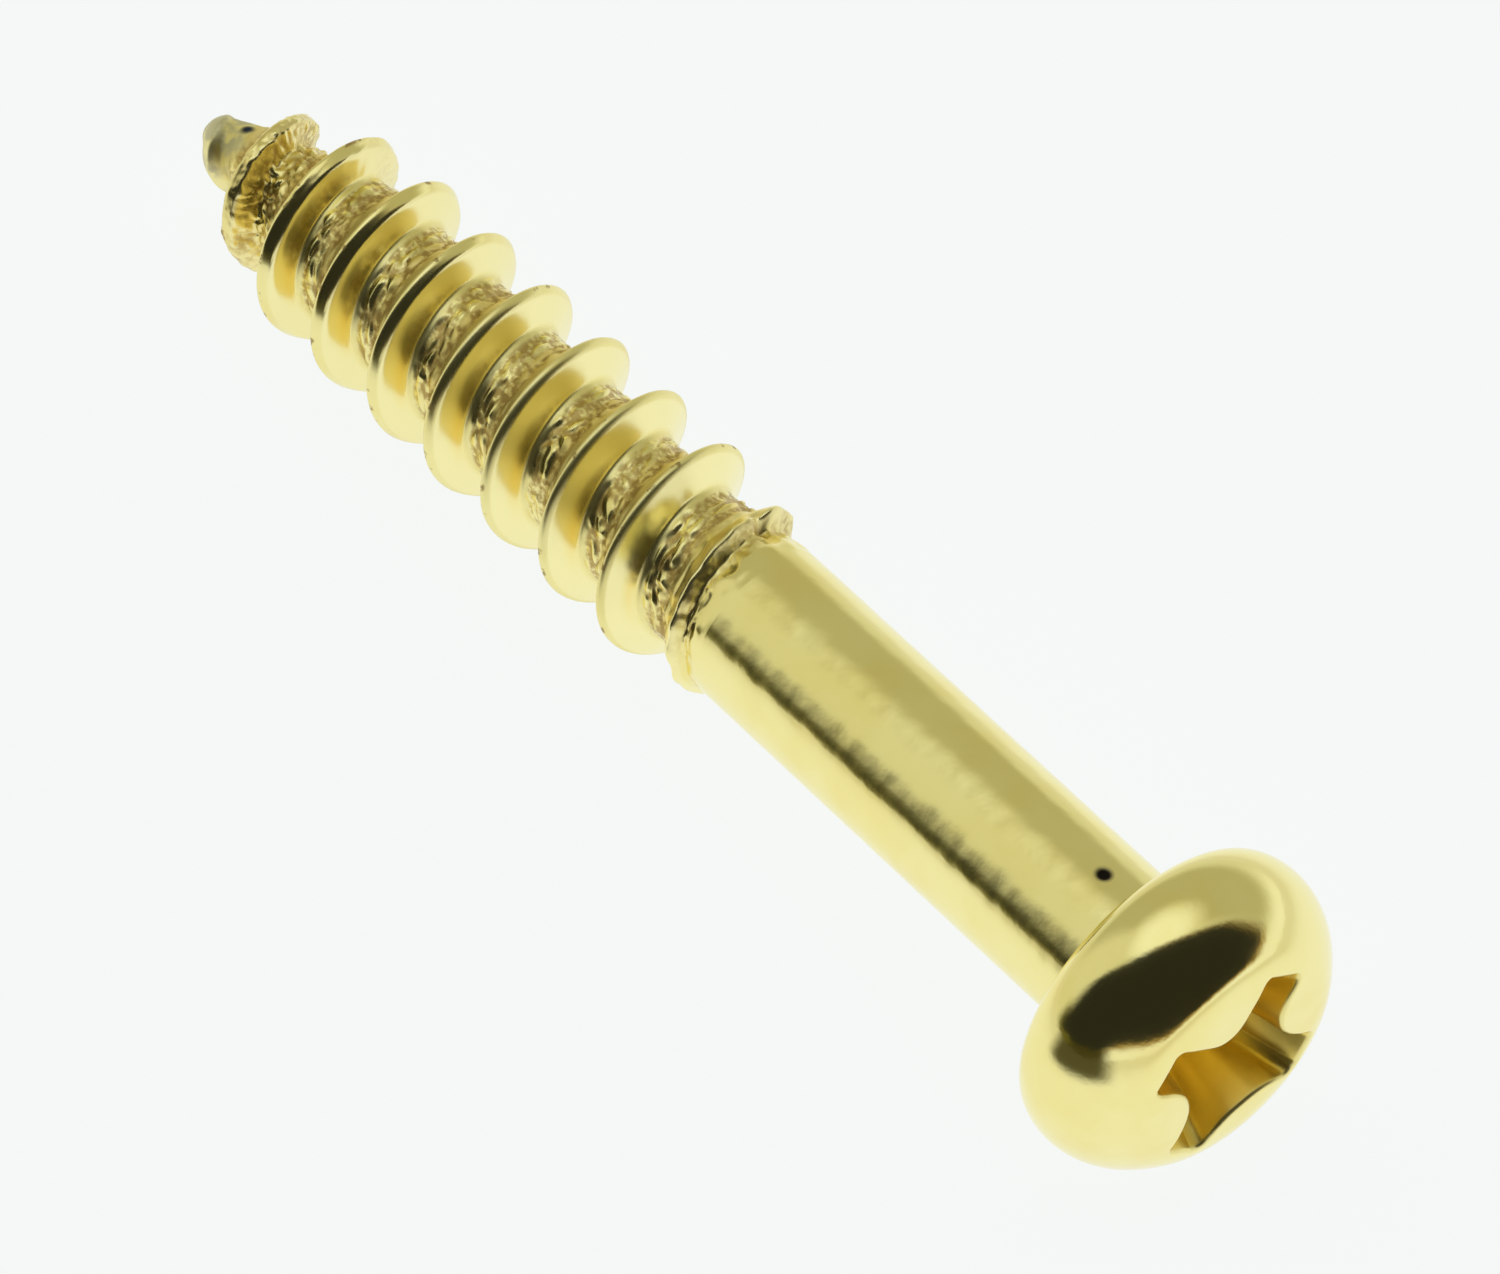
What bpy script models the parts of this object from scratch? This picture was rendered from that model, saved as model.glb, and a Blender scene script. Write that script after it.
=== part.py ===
"""Wood screw with a flat-topped, cross-recessed round head, modelled in metres.

The screw lies along X with its head at +X and its point at -X. The origin is the centre of the flat
bearing face under the head. A real screw is one forging, so its named sections are separate closed solids
that meet face to face on planes square to the axis: head, shank, threaded shaft and gimlet point.
"""

import math

import bmesh
import bpy
from mathutils import Matrix

MM = 0.001

# Lengths along the axis
UNDER_HEAD_LENGTH = 22.1 * MM
SHANK_LENGTH = 8.7 * MM
POINT_LENGTH = 3.65 * MM
SHOULDER_SETBACK = 0.25 * MM
SHOULDER_LENGTH = 0.45 * MM
RUN_OUT_LENGTH = 1.7 * MM

# Head: the dome's arc would rise higher, but its top is flat at the head's height
HEAD_DIAMETER = 5.4 * MM
HEAD_HEIGHT = 2.08 * MM
DOME_RISE = 1.84 * MM
RIM_DROP = 0.68 * MM
RIM_REACH = 0.38 * MM
NECK_FILLET = 0.22 * MM

# Cross recess: its span and widths are taken at the flat top
RECESS_SPAN = 3.3 * MM
RECESS_DEPTH = 1.4 * MM
WING_WIDTH = 0.75 * MM
WING_FLOOR_WIDTH = 0.5 * MM
WING_FLOOR_SPAN = 1.5 * MM
CORE_WIDTH = 1.72 * MM
CORE_FLOOR_WIDTH = 0.6 * MM
RECESS_TURN = math.radians(55.7)

# Shank and thread
SHANK_DIAMETER = 2.67 * MM
THREAD_DIAMETER = 3.5 * MM
ROOT_DIAMETER = 2.38 * MM
THREAD_PITCH = 1.39 * MM
CREST_OFFSET = 0.1 * MM
TIP_DIAMETER = 0.38 * MM

# Ridge outline: runs along the axis, and the shares of the ridge's height where it bends
CREST_FLAT = 0.06 * MM
EDGE_RUN = 0.12 * MM
HEAD_FLANK_RUN = 0.21 * MM
TIP_FLANK_RUN = 0.24 * MM
FOOT_RUN = 0.25 * MM
EDGE_SHARE = 0.87
FOOT_SHARE = 0.2

# Shapes of the tapers: 1 is a straight cone, and more is a fuller curve
POINT_CREST_CURVE = 1.85
POINT_ROOT_CURVE = 1.2
RUN_OUT_CURVE = 0.6

# Facets
ROUND_STEPS = 48
DOME_STEPS = 6
RIM_STEPS = 4
FILLET_STEPS = 3
TURN_STEPS = 32

# How far a cutter stands clear of what it cuts, and how near two points count as one
CUTTER_STAND = 0.5 * MM
WELD = 0.002 * MM
CUT_WELD = 0.02 * MM

# Finish
PLATING = (0.74, 0.62, 0.28, 1.0)
HEAD_ROUGHNESS = 0.22
SHANK_ROUGHNESS = 0.26
THREAD_ROUGHNESS = 0.3
SHARP_ANGLE = math.radians(40)

HEAD_RADIUS = HEAD_DIAMETER / 2
SHANK_RADIUS = SHANK_DIAMETER / 2
CREST_RADIUS = THREAD_DIAMETER / 2
ROOT_RADIUS = ROOT_DIAMETER / 2
TIP_RADIUS = TIP_DIAMETER / 2
POINT_START = POINT_LENGTH - UNDER_HEAD_LENGTH


def clear_scene():
    """Removes whatever objects the scene starts with."""
    for old in list(bpy.data.objects):
        bpy.data.objects.remove(old, do_unlink=True)


def plating(name, roughness):
    """A yellow-plated steel of the given roughness."""
    material = bpy.data.materials.new(name)
    material.use_nodes = True
    shader = material.node_tree.nodes["Principled BSDF"]
    shader.inputs["Base Color"].default_value = PLATING
    shader.inputs["Metallic"].default_value = 1.0
    shader.inputs["Roughness"].default_value = roughness
    return material


def add_section(name, bm, roughness, parent):
    """Makes a named object of a finished mesh, shaded smooth up to its edges."""
    bmesh.ops.recalc_face_normals(bm, faces=bm.faces)
    mesh = bpy.data.meshes.new(name)
    bm.to_mesh(mesh)
    bm.free()
    mesh.shade_smooth()
    mesh.set_sharp_from_angle(angle=SHARP_ANGLE)
    mesh.materials.append(plating(name, roughness))
    section = bpy.data.objects.new(name, mesh)
    section.parent = parent
    bpy.context.collection.objects.link(section)
    return section


def arc(centre_x, centre_r, half_x, half_r, start, end, steps):
    """Points of an elliptical arc in the half plane of (x, radius), from one angle to another."""
    points = []
    for step in range(steps + 1):
        angle = start + (end - start) * step / steps
        points.append((centre_x + half_x * math.sin(angle), centre_r + half_r * math.cos(angle)))
    return points


def turned(profile):
    """Turns a profile of (x, radius) points, which starts and ends on the axis, into a closed body."""
    bm = bmesh.new()
    verts = [bm.verts.new((x, radius, 0.0)) for x, radius in profile]
    edges = [bm.edges.new(pair) for pair in zip(verts, verts[1:])]
    bmesh.ops.spin(
        bm, geom=verts + edges, cent=(0, 0, 0), axis=(1, 0, 0), dvec=(0, 0, 0),
        angle=math.tau, steps=ROUND_STEPS, use_merge=True, use_duplicate=False,
    )
    bmesh.ops.remove_doubles(bm, verts=bm.verts, dist=WELD)
    return bm


def head_profile():
    """Flat top, dome, rounded rim, flat bearing face, neck fillet and the short neck, as turned."""
    quarter = math.pi / 2
    top_angle = math.asin(min((HEAD_HEIGHT - RIM_DROP) / DOME_RISE, 1.0))
    dome = arc(RIM_DROP, 0.0, DOME_RISE, HEAD_RADIUS, top_angle, 0.0, DOME_STEPS)
    rim = arc(RIM_DROP, HEAD_RADIUS - RIM_REACH, RIM_DROP, RIM_REACH, 0.0, -quarter, RIM_STEPS)
    fillet = arc(
        -NECK_FILLET, SHANK_RADIUS + NECK_FILLET, NECK_FILLET, NECK_FILLET, quarter, math.pi, FILLET_STEPS
    )
    return [(HEAD_HEIGHT, 0.0)] + dome + rim[1:] + fillet + [(-NECK_FILLET, 0.0)]


def tapered_block(name, floor_x, floor_size, end_x, end_size, turn):
    """A four-sided block, turned about the axis, that widens from floor to end, as a hidden cutter."""
    bm = bmesh.new()
    rings = []
    for x, (width, height) in ((floor_x, floor_size), (end_x, end_size)):
        corners = [(-1, -1), (1, -1), (1, 1), (-1, 1)]
        rings.append([bm.verts.new((x, width / 2 * a, height / 2 * b)) for a, b in corners])
    for ring in rings:
        bm.faces.new(ring)
    for side in range(4):
        after = (side + 1) % 4
        bm.faces.new((rings[0][side], rings[0][after], rings[1][after], rings[1][side]))
    bmesh.ops.rotate(bm, cent=(0, 0, 0), matrix=Matrix.Rotation(turn, 3, "X"), verts=bm.verts)
    bmesh.ops.recalc_face_normals(bm, faces=bm.faces)
    mesh = bpy.data.meshes.new(name)
    bm.to_mesh(mesh)
    bm.free()
    cutter = bpy.data.objects.new(name, mesh)
    cutter.hide_render = True
    cutter.display_type = "WIRE"
    bpy.context.collection.objects.link(cutter)
    return cutter


def above_mouth(floor_size, mouth_size):
    """The size of a cutter's end, where its taper stands clear of the recess's mouth."""
    return floor_size + (mouth_size - floor_size) * (RECESS_DEPTH + CUTTER_STAND) / RECESS_DEPTH


def recess_cutters():
    """Two crossed wings and a square core set between them, which leave the cross recess of the driver."""
    floor_x = HEAD_HEIGHT - RECESS_DEPTH
    end_x = HEAD_HEIGHT + CUTTER_STAND
    span = above_mouth(WING_FLOOR_SPAN, RECESS_SPAN)
    width = above_mouth(WING_FLOOR_WIDTH, WING_WIDTH)
    core = above_mouth(CORE_FLOOR_WIDTH, CORE_WIDTH)
    floor = (WING_FLOOR_SPAN, WING_FLOOR_WIDTH)
    core_floor = (CORE_FLOOR_WIDTH, CORE_FLOOR_WIDTH)
    core_turn = RECESS_TURN + math.radians(45)
    return [
        tapered_block("wing_cutter_a", floor_x, floor, end_x, (span, width), RECESS_TURN),
        tapered_block("wing_cutter_b", floor_x, floor[::-1], end_x, (width, span), RECESS_TURN),
        tapered_block("core_cutter", floor_x, core_floor, end_x, (core, core), core_turn),
    ]


def make_head(parent):
    """The turned head with its cross recess cut in."""
    head = add_section("head", turned(head_profile()), HEAD_ROUGHNESS, parent)
    for cutter in recess_cutters():
        cutter.parent = parent
        cut = head.modifiers.new(cutter.name, "BOOLEAN")
        cut.operation = "DIFFERENCE"
        cut.object = cutter
    return head


def make_shank(parent):
    """The plain stretch between the neck and the thread's run-out."""
    profile = [
        (-NECK_FILLET, 0.0), (-NECK_FILLET, SHANK_RADIUS), (-SHANK_LENGTH, SHANK_RADIUS), (-SHANK_LENGTH, 0.0)
    ]
    return add_section("shank", turned(profile), SHANK_ROUGHNESS, parent)


def share_of(value, start, length):
    """How far a place lies along a stretch, from 0 at its start to 1 at its end."""
    return min(max((start - value) / length, 0.0), 1.0)


def root_radius(x):
    """Radius between the ridges: the shank's shoulder, then the root, then the taper to the tip."""
    shoulder = share_of(x, -SHANK_LENGTH - SHOULDER_SETBACK, SHOULDER_LENGTH)
    eased = shoulder * shoulder * (3 - 2 * shoulder)
    body = SHANK_RADIUS + (ROOT_RADIUS - SHANK_RADIUS) * eased
    point = share_of(x, POINT_START, POINT_LENGTH) ** POINT_ROOT_CURVE
    return body + (TIP_RADIUS - body) * point


def crest_radius(x):
    """Radius of the ridge: it rises out of the shank, runs level and closes to the tip."""
    rise = share_of(x, -SHANK_LENGTH, RUN_OUT_LENGTH) ** RUN_OUT_CURVE
    body = SHANK_RADIUS + (CREST_RADIUS - SHANK_RADIUS) * rise
    point = share_of(x, POINT_START, POINT_LENGTH) ** POINT_CREST_CURVE
    return body + (TIP_RADIUS - body) * point


def ridge_outline():
    """One pitch of the thread: places from the crest's middle and shares of the ridge's height."""
    half_crest = CREST_FLAT / 2
    tip_bend = -half_crest - TIP_FLANK_RUN
    head_bend = half_crest + EDGE_RUN
    return [
        (tip_bend - FOOT_RUN, 0.0),
        (tip_bend, FOOT_SHARE),
        (-half_crest, 1.0),
        (half_crest, 1.0),
        (head_bend, EDGE_SHARE),
        (head_bend + HEAD_FLANK_RUN, 0.0),
        (tip_bend - FOOT_RUN + THREAD_PITCH, 0.0),
    ]


def thread_surface():
    """An open tube with a right-handed ridge, longer than the thread at both ends."""
    turns = math.ceil(UNDER_HEAD_LENGTH / THREAD_PITCH) + 1
    start = -CREST_OFFSET - THREAD_PITCH * turns
    height = CREST_RADIUS - ROOT_RADIUS
    bm = bmesh.new()
    verts = [bm.verts.new((start + x, ROOT_RADIUS + share * height, 0.0)) for x, share in ridge_outline()]
    edges = [bm.edges.new(pair) for pair in zip(verts, verts[1:])]
    bmesh.ops.spin(
        bm, geom=verts + edges, cent=(0, 0, 0), axis=(1, 0, 0), dvec=(THREAD_PITCH / TURN_STEPS, 0, 0),
        angle=math.tau * turns, steps=TURN_STEPS * turns, use_merge=False, use_duplicate=False,
    )
    bmesh.ops.remove_doubles(bm, verts=bm.verts, dist=WELD)
    for vert in bm.verts:
        radius = math.hypot(vert.co.y, vert.co.z)
        ridge_share = (radius - ROOT_RADIUS) / (CREST_RADIUS - ROOT_RADIUS)
        root = root_radius(vert.co.x)
        wanted = root + ridge_share * (crest_radius(vert.co.x) - root)
        vert.co.y *= wanted / radius
        vert.co.z *= wanted / radius
    return bm


def trim(bm, x, outwards):
    """Cuts the tube square at x, drops what lies outwards of it and closes the end with a flat cap."""
    bmesh.ops.bisect_plane(
        bm, geom=bm.verts[:] + bm.edges[:] + bm.faces[:], dist=WELD,
        plane_co=(x, 0, 0), plane_no=(outwards, 0, 0), clear_outer=True,
    )
    rim = [vert for vert in bm.verts if abs(vert.co.x - x) <= WELD]
    for vert in rim:
        vert.co.x = x
    bmesh.ops.remove_doubles(bm, verts=rim, dist=CUT_WELD)
    ends = [edge for edge in bm.edges if edge.is_boundary]
    cut = [edge for edge in ends if all(abs(vert.co.x - x) <= WELD for vert in edge.verts)]
    bmesh.ops.holes_fill(bm, edges=cut, sides=0)


def threaded(name, front_x, back_x, parent):
    """A threaded section between two planes square to the axis."""
    bm = thread_surface()
    trim(bm, front_x, 1)
    trim(bm, back_x, -1)
    return add_section(name, bm, THREAD_ROUGHNESS, parent)


def main():
    """Builds the four sections of the screw under one empty."""
    clear_scene()
    screw = bpy.data.objects.new("wood_screw", None)
    bpy.context.collection.objects.link(screw)
    make_head(screw)
    make_shank(screw)
    threaded("threaded_shaft", -SHANK_LENGTH, POINT_START, screw)
    threaded("gimlet_point", POINT_START, -UNDER_HEAD_LENGTH, screw)


main()
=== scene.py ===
# %% [markdown]
# A small yellow-plated wood screw, lying on its side on a white table.
# The real one is a single length of steel wire. A press upsets one end into a domed head and punches a
# cross into it, two flat dies roll the thread and the point, and a thin bright plating covers it all.
# The lesson dresses the four named sections of the solid model: head, shank, threaded shaft and point.
# First the solid model is loaded, its box is kept, and everything is deselected, because the loaded
# sections stay selected and an operator acts on all that is selected.

# %% Load the solid model
import math

import bpy
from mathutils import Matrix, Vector, noise


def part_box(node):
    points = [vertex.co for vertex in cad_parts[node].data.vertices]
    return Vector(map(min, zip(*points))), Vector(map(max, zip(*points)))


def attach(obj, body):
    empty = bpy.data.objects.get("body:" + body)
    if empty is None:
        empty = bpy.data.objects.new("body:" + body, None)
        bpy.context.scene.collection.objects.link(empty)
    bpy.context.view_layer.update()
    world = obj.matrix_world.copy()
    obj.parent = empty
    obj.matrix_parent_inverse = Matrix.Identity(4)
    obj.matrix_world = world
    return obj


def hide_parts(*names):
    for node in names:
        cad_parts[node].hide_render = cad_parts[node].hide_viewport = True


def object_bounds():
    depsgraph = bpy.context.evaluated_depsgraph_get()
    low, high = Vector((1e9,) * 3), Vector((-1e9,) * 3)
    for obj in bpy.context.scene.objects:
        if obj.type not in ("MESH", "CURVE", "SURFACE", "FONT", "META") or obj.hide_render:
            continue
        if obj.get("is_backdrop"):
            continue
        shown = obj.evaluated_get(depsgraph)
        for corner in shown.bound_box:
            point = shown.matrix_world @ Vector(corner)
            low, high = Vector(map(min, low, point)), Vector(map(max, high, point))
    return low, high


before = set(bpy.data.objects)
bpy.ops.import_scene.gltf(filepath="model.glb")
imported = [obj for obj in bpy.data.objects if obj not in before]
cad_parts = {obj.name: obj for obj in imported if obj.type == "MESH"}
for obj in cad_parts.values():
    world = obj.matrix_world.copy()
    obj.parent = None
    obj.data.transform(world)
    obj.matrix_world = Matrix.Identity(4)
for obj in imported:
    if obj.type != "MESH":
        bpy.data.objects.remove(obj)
cad_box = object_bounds()
bpy.ops.object.select_all(action="DESELECT")
print("sections of the solid model:", sorted(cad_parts))

# %% [markdown]
# The screw is only 24 mm long, and the usual distances in Blender, such as the one for merging doubles, suit
# larger things. So each piece is made on a bench where one unit stands for one millimetre, and is shrunk to
# real size as its last step. The planes where the sections meet come from the solid model's boxes.

# %% Where the sections meet
MM = 0.001


def reach(node):
    """Lowest x, highest x and largest radius of a section, in millimetres."""
    low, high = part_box(node)
    return low.x / MM, high.x / MM, high.y / MM


NECK_X, _, HEAD_RADIUS = reach("head")
SHANK_END_X, _, SHANK_RADIUS = reach("shank")
POINT_X, _, _ = reach("threaded_shaft")
TIP_X, _, _ = reach("gimlet_point")
print(f"neck {NECK_X:.2f}, shank ends {SHANK_END_X:.2f}")
print(f"point starts {POINT_X:.2f}, tip {TIP_X:.2f}, radii {HEAD_RADIUS:.3f} and {SHANK_RADIUS:.3f}")

# %% [markdown]
# The camera looks down along the screw from beyond its head, with a long lens from close by, as for a
# picture of small goods. Its place was worked out from the head's and the thread's outlines. It could be
# aimed with a constraint, but a direction turned into a quaternion leaves nothing to evaluate later.

# %% Camera
CAMERA_PLACE = Vector((61.471, -59.677, 116.236)) * MM
TOWARDS_CAMERA = Vector((0.47332, -0.40092, 0.78437))
LENS = 234

bpy.ops.object.camera_add(location=CAMERA_PLACE)
camera = bpy.context.object
camera.rotation_mode = "QUATERNION"
camera.rotation_quaternion = (-TOWARDS_CAMERA).to_track_quat("-Z", "Y")
camera.data.lens = LENS
camera.data.clip_start = MM
bpy.context.scene.camera = camera
print("camera at", [round(x / MM, 1) for x in camera.location], "mm")

# %% [markdown]
# Turned and rolled pieces start as half an outline. By hand, one would merge a plane to a single point and
# extrude that point along the outline, so that is what these helpers do. The outline lies in the plane of
# the screw's axis, x along the axis and y as the radius.

# %% Helpers for outlines and modifiers
WELD = 0.0005


def draw_outline(name, points):
    """A chain of edges through points of (x, radius), left in edit mode with all of it selected."""
    bpy.ops.object.select_all(action="DESELECT")
    bpy.ops.mesh.primitive_plane_add(size=1)
    piece = bpy.context.object
    piece.name = name
    bpy.ops.object.mode_set(mode="EDIT")
    bpy.ops.mesh.select_mode(type="VERT")
    bpy.ops.mesh.select_all(action="SELECT")
    bpy.ops.mesh.merge(type="CENTER")
    places = [Vector((x, radius, 0)) for x, radius in points]
    bpy.ops.transform.translate(value=places[0])
    for here, there in zip(places, places[1:]):
        bpy.ops.mesh.extrude_region_move(TRANSFORM_OT_translate={"value": there - here})
    bpy.ops.mesh.select_all(action="SELECT")
    return piece


def weld_and_face_out():
    """Merges doubles and turns all faces outwards, in edit mode."""
    bpy.ops.mesh.select_all(action="SELECT")
    bpy.ops.mesh.remove_doubles(threshold=WELD)
    bpy.ops.mesh.normals_make_consistent(inside=False)


def apply_modifier(piece, kind, **settings):
    """Adds a modifier with these settings and applies it."""
    modifier = piece.modifiers.new(kind.lower(), kind)
    for name, value in settings.items():
        setattr(modifier, name, value)
    bpy.context.view_layer.objects.active = piece
    bpy.ops.object.modifier_apply(modifier=modifier.name)


def cut_off(x, keep):
    """Cuts the piece in edit mode at a plane across the axis, keeps one side and closes the cut."""
    bpy.ops.mesh.select_all(action="SELECT")
    bpy.ops.mesh.bisect(
        plane_co=(x, 0, 0), plane_no=(1, 0, 0), use_fill=True,
        clear_inner=keep == "above", clear_outer=keep == "below",
    )


print("helpers ready")

# %% [markdown]
# The head is a low dome with a flat top over a rounded rim, a flat bearing face below and a small fillet
# into the shank. A squashed sphere would come close, but the rim and the fillet need their own curves, so
# half the outline is drawn from its arcs and spun round the axis. Its top is still a plain disc of even
# rings, as the blank is before the punch comes down.

# %% Head, turned
HEAD_HEIGHT = 2.08
RIM_DROP = 0.68
DOME_RISE = 1.84
RIM_REACH = 0.38
NECK_FILLET = 0.22
DISC_RADIUS = 2.2
DISC_RINGS = 52
DOME_STEPS = 16
RIM_STEPS = 14
FILLET_STEPS = 10
TURN_STEPS = 480


def arc(centre, half, start, end, steps):
    """Points of an elliptical arc in the plane of (x, radius), between two angles in degrees."""
    points = []
    for step in range(steps + 1):
        angle = math.radians(start + (end - start) * step / steps)
        points.append((centre[0] + half[0] * math.sin(angle), centre[1] + half[1] * math.cos(angle)))
    return points


disc = [(HEAD_HEIGHT, DISC_RADIUS * ring / DISC_RINGS) for ring in range(DISC_RINGS + 1)]
disc_angle = math.degrees(math.acos(DISC_RADIUS / HEAD_RADIUS))
dome = arc((RIM_DROP, 0), (DOME_RISE, HEAD_RADIUS), disc_angle, 0, DOME_STEPS)
rim = arc((RIM_DROP, HEAD_RADIUS - RIM_REACH), (RIM_DROP, RIM_REACH), 0, -90, RIM_STEPS)
fillet_centre = (-NECK_FILLET, SHANK_RADIUS + NECK_FILLET)
fillet = arc(fillet_centre, (NECK_FILLET, NECK_FILLET), 90, 180, FILLET_STEPS)
head = draw_outline("domed_head", disc + dome[1:] + rim[1:] + fillet + [(NECK_X, 0)])
bpy.ops.mesh.spin(steps=TURN_STEPS, angle=math.tau, center=(0, 0, 0), axis=(1, 0, 0))
weld_and_face_out()
bpy.ops.object.mode_set(mode="OBJECT")
print("turned head:", len(head.data.polygons), "faces")

# %% [markdown]
# The cross in the head is pressed by a punch with four wings round a tapered core, and the metal flows away
# from it, so its lips and the noses between its wings are round. Cutting it out with blocks leaves sharp
# lips that break when they are bevelled, so the rings of the disc are pressed down instead, as the punch
# does it. First comes the punch itself: each pair of sizes holds at its top and at its foot.

# %% Shape of the punch
RECESS_DEPTH = 1.4
RECESS_TURN = math.radians(55.7)
WING_REACH = (1.65, 0.95)
WING_HALF_WIDTH = (0.41, 0.3)
CORE_REACH = (0.88, 0.55)
CORE_SHIFT = 0.26
WING_ROUNDING = 0.14
NOSE_ROUNDING = 0.34
TOP_ROUNDING = 0.2
SEARCH_STEPS = 26


def limited(share):
    """A share kept between 0 and 1."""
    return min(max(share, 0.0), 1.0)


def soft_min(first, second, width):
    """The lesser of two lengths, with the bend between them rounded over a width."""
    share = limited(0.5 + 0.5 * (second - first) / width)
    return second + (first - second) * share - width * share * (1 - share)


def top_height(radius):
    """How high the head's surface stands at a radius: the dome, cut flat, with a soft edge between."""
    dome_height = RIM_DROP + DOME_RISE * math.sqrt(1 - (radius / HEAD_RADIUS) ** 2)
    return soft_min(dome_height, HEAD_HEIGHT, TOP_ROUNDING)


def wing_distance(along, across, deep):
    """How far a place lies outside one pair of wings, at a share of the recess's depth."""
    top_reach, foot_reach = WING_REACH
    top_width, foot_width = WING_HALF_WIDTH
    long = abs(along) - top_reach - (foot_reach - top_reach) * deep + WING_ROUNDING
    wide = abs(across) - top_width - (foot_width - top_width) * deep + WING_ROUNDING
    outside = math.hypot(max(long, 0.0), max(wide, 0.0))
    return outside + min(max(long, wide), 0.0) - WING_ROUNDING


def punch_distance(along, across, deep):
    """How far a place lies outside the cross, with round noses between the wings."""
    wings = soft_min(wing_distance(along, across, deep), wing_distance(across, along, deep), NOSE_ROUNDING)
    top_core, foot_core = CORE_REACH
    aside = CORE_SHIFT / math.sqrt(2)
    core = (abs(along + aside) + abs(across + aside)) / math.sqrt(2)
    core -= top_core + (foot_core - top_core) * deep
    return soft_min(wings, core, NOSE_ROUNDING)


def cross_radius(angle, deep, grown):
    """Radius at which the cross, grown by a little, ends in a direction, found by halving."""
    low, high = 0.0, DISC_RADIUS
    for _ in range(SEARCH_STEPS):
        middle = (low + high) / 2
        inside = punch_distance(middle * math.cos(angle), middle * math.sin(angle), deep) < grown
        low, high = (middle, high) if inside else (low, middle)
    return low


print("cross along a wing and between wings:", cross_radius(0, 0, 0), cross_radius(math.pi / 4, 0, 0))

# %% [markdown]
# Now the punch comes down on the disc. Its rings are shared out from the middle: the floor, the round foot of
# the wall, the wall, the round lip and the flat around it. Each ring takes the outline of the cross at its
# own depth, so no edge has to be cut. How deep each point sank is kept for the finish.

# %% Cross recess, punched
FLOOR_RINGS = 4
FOOT_RINGS = 4
WALL_RINGS = 18
LIP_RINGS = 10
FOOT_RADIUS = 0.12
LIP_RADIUS = 0.07


def pressed_place(ring, angle):
    """Where the punch leaves a point of the disc: its radius and its depth under the head's top."""
    if ring <= FLOOR_RINGS:
        return cross_radius(angle, 1.0, -FOOT_RADIUS) * ring / FLOOR_RINGS, RECESS_DEPTH
    ring -= FLOOR_RINGS
    if ring <= FOOT_RINGS:
        turn = math.pi / 2 * ring / FOOT_RINGS
        depth = RECESS_DEPTH - FOOT_RADIUS * (1 - math.cos(turn))
        return cross_radius(angle, depth / RECESS_DEPTH, FOOT_RADIUS * (math.sin(turn) - 1)), depth
    ring -= FOOT_RINGS
    if ring <= WALL_RINGS:
        low, high = RECESS_DEPTH - FOOT_RADIUS, LIP_RADIUS
        depth = low + (high - low) * ring / WALL_RINGS
        return cross_radius(angle, depth / RECESS_DEPTH, 0.0), depth
    ring -= WALL_RINGS
    if ring <= LIP_RINGS:
        turn = math.pi / 2 * ring / LIP_RINGS
        depth = LIP_RADIUS * (1 - math.sin(turn))
        return cross_radius(angle, depth / RECESS_DEPTH, LIP_RADIUS * (1 - math.cos(turn))), depth
    ring -= LIP_RINGS
    share = ring / (DISC_RINGS - FLOOR_RINGS - FOOT_RINGS - WALL_RINGS - LIP_RINGS)
    lip = cross_radius(angle, 0.0, LIP_RADIUS)
    return lip + (DISC_RADIUS - lip) * share, 0.0


sunk = []
for vert in head.data.vertices:
    radius, depth = math.hypot(vert.co.y, vert.co.z), 0.0
    if abs(vert.co.x - HEAD_HEIGHT) < WELD and radius < DISC_RADIUS + WELD:
        ring = round(radius / DISC_RADIUS * DISC_RINGS)
        around = math.atan2(vert.co.z, vert.co.y)
        radius, depth = pressed_place(ring, around - RECESS_TURN)
        height = top_height(radius) - depth
        vert.co = Vector((height, radius * math.cos(around), radius * math.sin(around)))
    sunk.append(depth / RECESS_DEPTH)
head.data.attributes.new("sunk", "FLOAT", "POINT").data.foreach_set("value", sunk)
print("finished head:", len(head.data.polygons), "faces, recess floor at", HEAD_HEIGHT - RECESS_DEPTH)

# %% [markdown]
# The shank is drawn wire: round, almost smooth, with the faint orange peel of bright plating and one
# small black pit near the head. A cylinder primitive has only long faces, so a ring is extruded once and
# its long edges are cut into short ones, which gives the peel and the pit enough points.

# %% Shank, drawn
SHANK_SIDES = 208

bpy.ops.object.select_all(action="DESELECT")
bpy.ops.mesh.primitive_circle_add(
    vertices=SHANK_SIDES, radius=SHANK_RADIUS, fill_type="NGON",
    location=(NECK_X, 0, 0), rotation=(0, math.pi / 2, 0),
)
shank = bpy.context.object
shank.name = "plain_shank"
bpy.ops.object.transform_apply(location=True, rotation=True, scale=True)
bpy.ops.object.mode_set(mode="EDIT")
bpy.ops.mesh.select_all(action="SELECT")
bpy.ops.mesh.extrude_region_move(TRANSFORM_OT_translate={"value": (SHANK_END_X - NECK_X, 0, 0)})
bpy.ops.object.mode_set(mode="OBJECT")
print("shank ring extruded:", len(shank.data.polygons), "faces")

# %% Shank, cut fine
SHANK_CUTS = (100, 1)
PEEL_HEIGHT = 0.003
PEEL_SIZE = 0.3
PIT_PLACE = Vector((-1.1, 0.161, 1.325))
PIT_RADIUS = 0.17
PIT_DEPTH = 0.05
END_FADE = 0.3


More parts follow.
